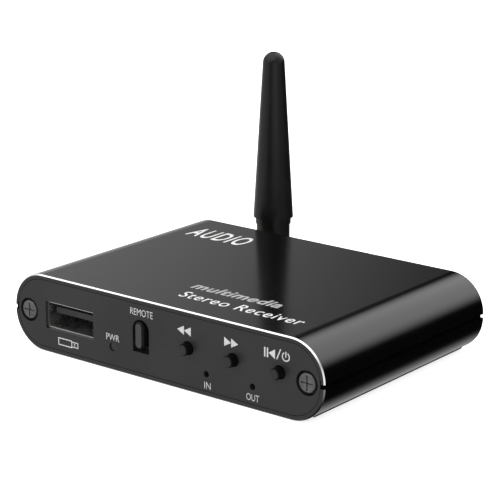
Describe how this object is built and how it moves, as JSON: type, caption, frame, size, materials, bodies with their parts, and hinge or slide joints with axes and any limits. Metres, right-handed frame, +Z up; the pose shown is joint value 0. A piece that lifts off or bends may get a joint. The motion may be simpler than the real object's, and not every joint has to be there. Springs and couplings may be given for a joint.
{
  "type": "bluetooth audio receiver",
  "caption": "Small black aluminium audio receiver with push buttons, a USB socket and an infrared window in front, phono sockets behind, and a stub antenna that tilts and swivels.",
  "frame": {"origin": "middle of the case's flat underside", "axes": "+X to the right along the front, +Y from the front panel to the rear panel, +Z up"},
  "size_m": [0.08, 0.0774, 0.0532],
  "materials": {
    "case_anodised": "fine bead-blasted black anodising, satin, with bright cut chamfers at both mouths",
    "panel_anodised": "matte black anodising with pale printed marks",
    "screw_steel": "black nickel, worn grey on the edges",
    "board_green": "green solder mask on glass and epoxy",
    "board_dark": "dark solder mask on glass and epoxy",
    "plated_shell": "nickel plate, bright",
    "socket_black": "moulded black, matte",
    "contact_gold": "gold flash",
    "infrared_plastic": "glossy black that only infrared light passes",
    "tinned_lead": "bright tin",
    "lamp_smoked": "smoked clear, unlit",
    "lamp_clear": "clear with a pale yellow die, unlit",
    "dome_steel": "bright spring steel",
    "button_plastic": "moulded black, fine satin",
    "chip_black": "moulded epoxy",
    "gold_plate": "gold plate on brass, bright",
    "lead_black": "smooth black sleeve",
    "ferrite_grey": "sintered, dull",
    "can_aluminium": "bright drawn can",
    "ceramic_tan": "unglazed",
    "insulator_white": "moulded white",
    "insulator_red": "moulded red",
    "antenna_plastic": "soft black, satin",
    "copper_wire": "bare copper"
  },
  "bodies": {
    "case": {"lower_shell": "case_anodised", "upper_shell": "case_anodised", "front_panel": "panel_anodised", "rear_panel": "panel_anodised", "front_screws": "screw_steel", "rear_screws": "screw_steel", "main_board": "board_green", "usb_socket_shell": "plated_shell", "usb_socket_insulator": "socket_black", "usb_socket_contacts": "contact_gold", "ir_receiver": "infrared_plastic", "ir_receiver_leads": "tinned_lead", "usb_lamp": "lamp_smoked", "signal_lamps": "lamp_clear", "switch_housings": "socket_black", "switch_covers": "plated_shell", "previous_switch_dome": "dome_steel", "next_switch_dome": "dome_steel", "play_switch_dome": "dome_steel", "bluetooth_module": "board_dark", "bluetooth_chip": "chip_black", "antenna_lead_plug": "gold_plate", "antenna_lead": "lead_black", "audio_chips": "chip_black", "chip_leads": "tinned_lead", "voltage_regulator": "chip_black", "power_inductor": "ferrite_grey", "clock_crystal": "tinned_lead", "capacitor_cans": "can_aluminium", "capacitor_bases": "socket_black", "chip_resistors": "chip_black", "chip_capacitors": "ceramic_tan", "phono_housings": "socket_black", "phono_barrels": "plated_shell", "left_phono_insulator": "insulator_white", "right_phono_insulator": "insulator_red", "phono_centre_contacts": "gold_plate", "aux_socket": "socket_black", "aux_socket_contacts": "contact_gold", "mode_switch_housing": "plated_shell", "power_socket_shell": "plated_shell", "power_socket_tongue": "socket_black", "antenna_jack": "gold_plate", "antenna_jack_insulator": "insulator_white", "antenna_jack_contact": "gold_plate", "antenna_jack_washer": "tinned_lead", "antenna_jack_nut": "gold_plate"},
    "previous_plunger": {"previous_button": "button_plastic"},
    "next_plunger": {"next_button": "button_plastic"},
    "play_plunger": {"play_button": "button_plastic"},
    "mode_slider": {"mode_switch_knob": "button_plastic"},
    "antenna_connector": {"connector_body": "gold_plate", "centre_pin": "gold_plate"},
    "antenna_coupling_nut": {"coupling_nut": "gold_plate"},
    "antenna_elbow": {"elbow": "antenna_plastic", "hinge_pin": "screw_steel"},
    "antenna_whip": {"whip_base": "antenna_plastic", "whip_sleeve": "antenna_plastic", "radiator_tube": "gold_plate", "radiator_wire": "copper_wire"}
  },
  "joints": [
    {"name": "previous_button_press", "type": "slide", "parent": "case", "child": "previous_plunger", "axis": [0, 1, 0], "range_m": [0, 0.00025], "stiffness_N_per_m": 800, "springref_m": -0.0005, "deforming": ["previous_switch_dome"]},
    {"name": "next_button_press", "type": "slide", "parent": "case", "child": "next_plunger", "axis": [0, 1, 0], "range_m": [0, 0.00025], "stiffness_N_per_m": 800, "springref_m": -0.0005, "deforming": ["next_switch_dome"]},
    {"name": "play_button_press", "type": "slide", "parent": "case", "child": "play_plunger", "axis": [0, 1, 0], "range_m": [0, 0.00025], "stiffness_N_per_m": 800, "springref_m": -0.0005, "deforming": ["play_switch_dome"]},
    {"name": "mode_switch_slide", "type": "slide", "parent": "case", "child": "mode_slider", "axis": [1, 0, 0], "range_m": [0, 0.002]},
    {"name": "antenna_unscrew", "type": "slide", "parent": "case", "child": "antenna_connector", "axis": [0, 1, 0], "range_m": [0, 0.006]},
    {"name": "coupling_nut_spin", "type": "hinge", "parent": "antenna_connector", "child": "antenna_coupling_nut", "pos_m": [-0.0272, 0.0335, 0.0066], "axis": [0, 1, 0], "range_deg": [0, 3062]},
    {"name": "antenna_swivel", "type": "hinge", "parent": "antenna_connector", "child": "antenna_elbow", "pos_m": [-0.0272, 0.038, 0.0066], "axis": [0, 1, 0], "range_deg": [-90, 90]},
    {"name": "antenna_tilt", "type": "hinge", "parent": "antenna_elbow", "child": "antenna_whip", "pos_m": [-0.0272, 0.0435, 0.0066], "axis": [-1, 0, 0], "range_deg": [0, 90]}
  ],
  "couplings": [
    {"joint": "coupling_nut_spin", "follows": "antenna_unscrew", "rad_per_m": 8905}
  ]
}
